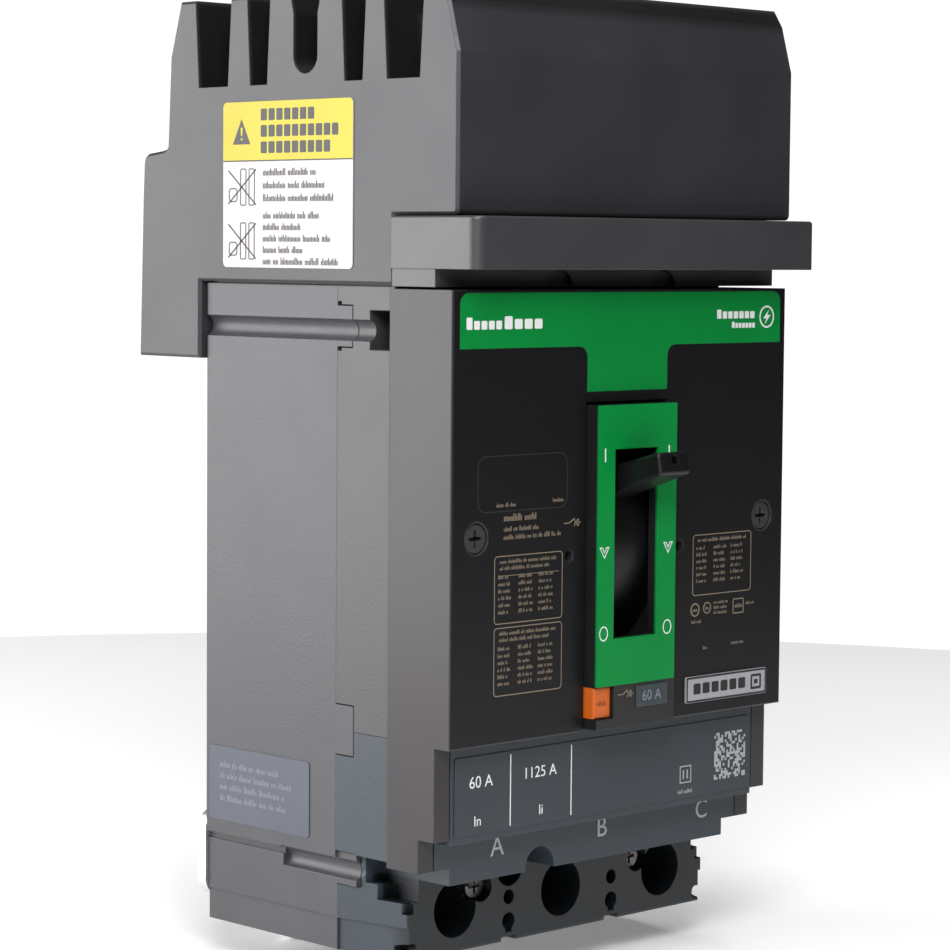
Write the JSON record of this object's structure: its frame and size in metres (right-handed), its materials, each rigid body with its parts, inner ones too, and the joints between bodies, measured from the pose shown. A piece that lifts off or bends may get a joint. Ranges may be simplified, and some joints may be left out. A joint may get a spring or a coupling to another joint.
{
  "type": "molded case circuit breaker",
  "caption": "Molded case circuit breaker with a toggle, a push-to-trip button, a trip unit, wire lugs at the load end and plug-on bus jaws at the line end.",
  "frame": {"origin": "centre of the base's rear face, on the mounting plane", "axes": "+Z towards the plug-on line end, front towards -Y, +X to the right seen from the front"},
  "size_m": [0.106, 0.1163, 0.212],
  "materials": {
    "base_plastic": "fine-grained molded",
    "cover_plastic": "fine-grained molded",
    "front_plastic": "smooth semi-gloss",
    "trip_plastic": "fine-grained molded",
    "hood_plastic": "smooth molded",
    "black_film": "printed film",
    "green_film": "printed film",
    "white_film": "printed film",
    "grey_film": "printed film",
    "escutcheon_plastic": "smooth molded",
    "handle_plastic": "smooth molded",
    "orange_plastic": "smooth molded",
    "plug_plastic": "smooth molded",
    "shaft_plastic": "filled thermoset",
    "zinc_steel": "zinc plated",
    "trip_screw_steel": "dark zinc plated",
    "copper": "plain copper",
    "silver": "silver faced",
    "tinned_copper": "tin plated",
    "spring_steel": "bright spring steel",
    "bimetal": "rolled strip",
    "alu": "tin-plated aluminium",
    "fibre": "vulcanised fibre"
  },
  "bodies": {
    "frame": {"base": "base_plastic", "cover": "cover_plastic", "escutcheon": "escutcheon_plastic", "toggle_plate": "green_film", "rating_plug": "plug_plastic", "trip_button_spring": "spring_steel", "handle_pin": "zinc_steel", "mechanism_frame": "zinc_steel", "frame_spacers": "zinc_steel", "fixed_tips": "silver", "line_contacts": "copper", "load_contacts": "copper", "line_conductors": "copper", "arc_plates_upper": "zinc_steel", "arc_plates_lower": "zinc_steel", "arc_cheeks": "fibre", "trip_unit_housing": "trip_plastic", "trip_unit_label": "black_film", "heater_straps": "copper", "bimetals": "bimetal", "magnet_yokes": "zinc_steel", "lugs": "alu", "lug_screws": "zinc_steel", "trip_unit_screws": "trip_screw_steel", "cover_screws": "zinc_steel", "jaw_housing": "hood_plastic", "jaw_housing_rear": "hood_plastic", "jaw_housing_screws": "zinc_steel", "line_shield": "hood_plastic", "bus_jaws": "tinned_copper", "jaw_springs": "spring_steel", "caution_label": "white_film", "side_label": "grey_film", "mounting_bracket": "zinc_steel", "bracket_screws": "zinc_steel"},
    "toggle": {"toggle_handle": "handle_plastic", "handle_crank_pin": "zinc_steel"},
    "shaft": {"crossbar": "shaft_plastic", "crossbar_cranks": "zinc_steel", "crossbar_crank_pins": "zinc_steel", "contact_arms": "copper", "moving_tips": "silver"},
    "links": {"drive_links": "zinc_steel"},
    "button": {"trip_button": "orange_plastic"},
    "tripper": {"trip_bar": "shaft_plastic"},
    "armature": {"armatures": "zinc_steel"},
    "accessory": {"accessory_cover": "front_plastic", "front_label": "black_film", "header_label": "green_film", "name_plate": "white_film"},
    "fastener_left": {"quarter_turn_screw_left": "front_plastic"},
    "fastener_right": {"quarter_turn_screw_right": "front_plastic"}
  },
  "joints": [
    {"name": "toggle_tilt", "type": "hinge", "parent": "frame", "child": "toggle", "pos_m": [0, -0.052, 0.006], "axis": [1, 0, 0], "range_deg": [0, 45.8]},
    {"name": "shaft_turn", "type": "hinge", "parent": "frame", "child": "shaft", "pos_m": [0, -0.023, 0.014], "axis": [1, 0, 0], "range_deg": [0, 46]},
    {"name": "link_swing", "type": "hinge", "parent": "shaft", "child": "links", "pos_m": [0, -0.02181, 0.02292], "axis": [1, 0, 0], "range_deg": [-46, 0]},
    {"name": "button_press", "type": "slide", "parent": "frame", "child": "button", "axis": [0, 1, 0], "range_m": [0, 0.002], "stiffness_N_per_m": 400, "deforming": ["trip_button_spring"]},
    {"name": "trip_bar_turn", "type": "hinge", "parent": "frame", "child": "tripper", "pos_m": [0, -0.05, -0.039], "axis": [-1, 0, 0], "range_deg": [0, 11]},
    {"name": "armature_tilt", "type": "hinge", "parent": "frame", "child": "armature", "pos_m": [0, -0.0369, -0.056], "axis": [-1, 0, 0], "range_deg": [0, 6], "stiffness_Nm_per_rad": 0.02},
    {"name": "accessory_lift", "type": "slide", "parent": "frame", "child": "accessory", "axis": [0, -1, 0], "range_m": [0, 0.03]},
    {"name": "fastener_left_turn", "type": "hinge", "parent": "accessory", "child": "fastener_left", "pos_m": [-0.0448, -0.07, 0.0091], "axis": [0, 1, 0], "range_deg": [0, 90]},
    {"name": "fastener_right_turn", "type": "hinge", "parent": "accessory", "child": "fastener_right", "pos_m": [0.0448, -0.07, 0.0091], "axis": [0, 1, 0], "range_deg": [0, 90]}
  ],
  "couplings": [
    {"joint": "shaft_turn", "follows": "toggle_tilt", "ratio": 1},
    {"joint": "link_swing", "follows": "toggle_tilt", "ratio": -1},
    {"joint": "trip_bar_turn", "follows": "button_press", "rad_per_m": 87.3}
  ]
}
